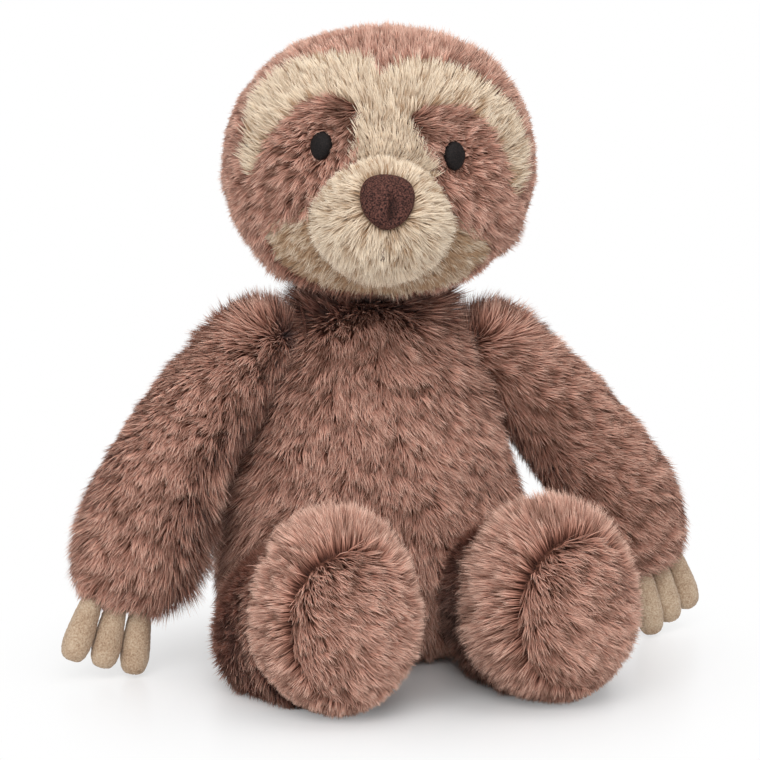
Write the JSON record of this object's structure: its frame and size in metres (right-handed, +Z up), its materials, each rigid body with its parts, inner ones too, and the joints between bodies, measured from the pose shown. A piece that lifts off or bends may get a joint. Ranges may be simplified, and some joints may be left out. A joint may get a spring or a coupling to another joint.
{
  "type": "plush sloth",
  "caption": "Seated long-pile plush sloth with a turning head, swinging arms with velour claws and swinging legs with big round feet.",
  "frame": {"origin": "on the floor plane, under the middle of the toy's box", "axes": "+Z up, the toy faces -Y, +X towards the side of the arm named right"},
  "size_m": [0.3052, 0.1964, 0.2805],
  "materials": {
    "brown_pile": "long brushed pile, matte",
    "cream_pile": "shorter brushed pile, matte",
    "claw_velour": "short velour, matte",
    "nose_thread": "satin-stitch embroidery, slight sheen",
    "eye_thread": "satin-stitch embroidery, slight sheen",
    "seam_thread": "sewing thread, matte",
    "stuffing": "polyester fibre fill, matte",
    "bean_bag_cloth": "plain woven cloth over plastic pellets, matte"
  },
  "bodies": {
    "torso": {"belly_left": "brown_pile", "belly_right": "brown_pile", "back_left": "brown_pile", "back_right": "brown_pile", "seat_panel": "brown_pile", "torso_stuffing": "stuffing", "seat_bean_bag": "bean_bag_cloth"},
    "neck_seam": {"neck_seam_thread": "seam_thread"},
    "head": {"head_back_left": "brown_pile", "head_back_right": "brown_pile", "brow_panel": "cream_pile", "cheek_panel": "cream_pile", "eye_patch_left": "brown_pile", "eye_patch_right": "brown_pile", "eye_left": "eye_thread", "eye_right": "eye_thread", "muzzle_panel": "cream_pile", "muzzle_stuffing": "stuffing", "nose": "nose_thread", "mouth_stitch": "nose_thread", "head_stuffing": "stuffing"},
    "shoulder_seam_left": {"shoulder_seam_thread_left": "seam_thread"},
    "arm_left": {"arm_front_panel_left": "brown_pile", "arm_back_panel_left": "brown_pile", "arm_stuffing_left": "stuffing"},
    "claws_left": {"claw_inner_left": "claw_velour", "claw_middle_left": "claw_velour", "claw_outer_left": "claw_velour"},
    "leg_left": {"leg_inner_panel_left": "brown_pile", "leg_outer_panel_left": "brown_pile", "sole_panel_left": "brown_pile", "leg_stuffing_left": "stuffing"},
    "shoulder_seam_right": {"shoulder_seam_thread_right": "seam_thread"},
    "arm_right": {"arm_front_panel_right": "brown_pile", "arm_back_panel_right": "brown_pile", "arm_stuffing_right": "stuffing"},
    "claws_right": {"claw_inner_right": "claw_velour", "claw_middle_right": "claw_velour", "claw_outer_right": "claw_velour"},
    "leg_right": {"leg_inner_panel_right": "brown_pile", "leg_outer_panel_right": "brown_pile", "sole_panel_right": "brown_pile", "leg_stuffing_right": "stuffing"}
  },
  "joints": [
    {"name": "neck_turn", "type": "hinge", "parent": "torso", "child": "neck_seam", "pos_m": [-0.00511, 0.04194, 0.1845], "axis": [0, 0, 1], "range_deg": [-35, 35], "stiffness_Nm_per_rad": 0.05},
    {"name": "neck_nod", "type": "hinge", "parent": "neck_seam", "child": "head", "pos_m": [-0.00511, 0.04194, 0.1845], "axis": [0.9816, -0.1908, 0], "range_deg": [-8, 12], "stiffness_Nm_per_rad": 0.3},
    {"name": "shoulder_swing_left", "type": "hinge", "parent": "torso", "child": "shoulder_seam_left", "pos_m": [-0.05311, 0.04194, 0.1455], "axis": [-1, 0, 0], "range_deg": [-40, 75]},
    {"name": "shoulder_lift_left", "type": "hinge", "parent": "shoulder_seam_left", "child": "arm_left", "pos_m": [-0.05311, 0.04194, 0.1455], "axis": [0, 0.9659, -0.2588], "range_deg": [0, 45]},
    {"name": "shoulder_swing_right", "type": "hinge", "parent": "torso", "child": "shoulder_seam_right", "pos_m": [0.04489, 0.04194, 0.1395], "axis": [-1, 0, 0], "range_deg": [-40, 75]},
    {"name": "shoulder_lift_right", "type": "hinge", "parent": "shoulder_seam_right", "child": "arm_right", "pos_m": [0.04489, 0.04194, 0.1395], "axis": [0, -0.9397, -0.342], "range_deg": [0, 45]},
    {"name": "hip_swing_left", "type": "hinge", "parent": "torso", "child": "leg_left", "pos_m": [-0.04761, 0.00794, 0.03521], "axis": [-1, 0, 0], "range_deg": [-25, 30]},
    {"name": "hip_swing_right", "type": "hinge", "parent": "torso", "child": "leg_right", "pos_m": [0.03939, 0.00794, 0.03521], "axis": [-1, 0, 0], "range_deg": [-25, 30]},
    {"name": "claws_fold_left", "type": "hinge", "parent": "arm_left", "child": "claws_left", "pos_m": [-0.12766, 0.0198, 0.03082], "axis": [0.9562, 0.0673, -0.2847], "range_deg": [-25, 25], "stiffness_Nm_per_rad": 0.004},
    {"name": "claws_fold_right", "type": "hinge", "parent": "arm_right", "child": "claws_right", "pos_m": [0.13025, 0.04368, 0.03021], "axis": [0.7829, 0.5636, 0.2634], "range_deg": [-40, 10], "stiffness_Nm_per_rad": 0.004}
  ]
}
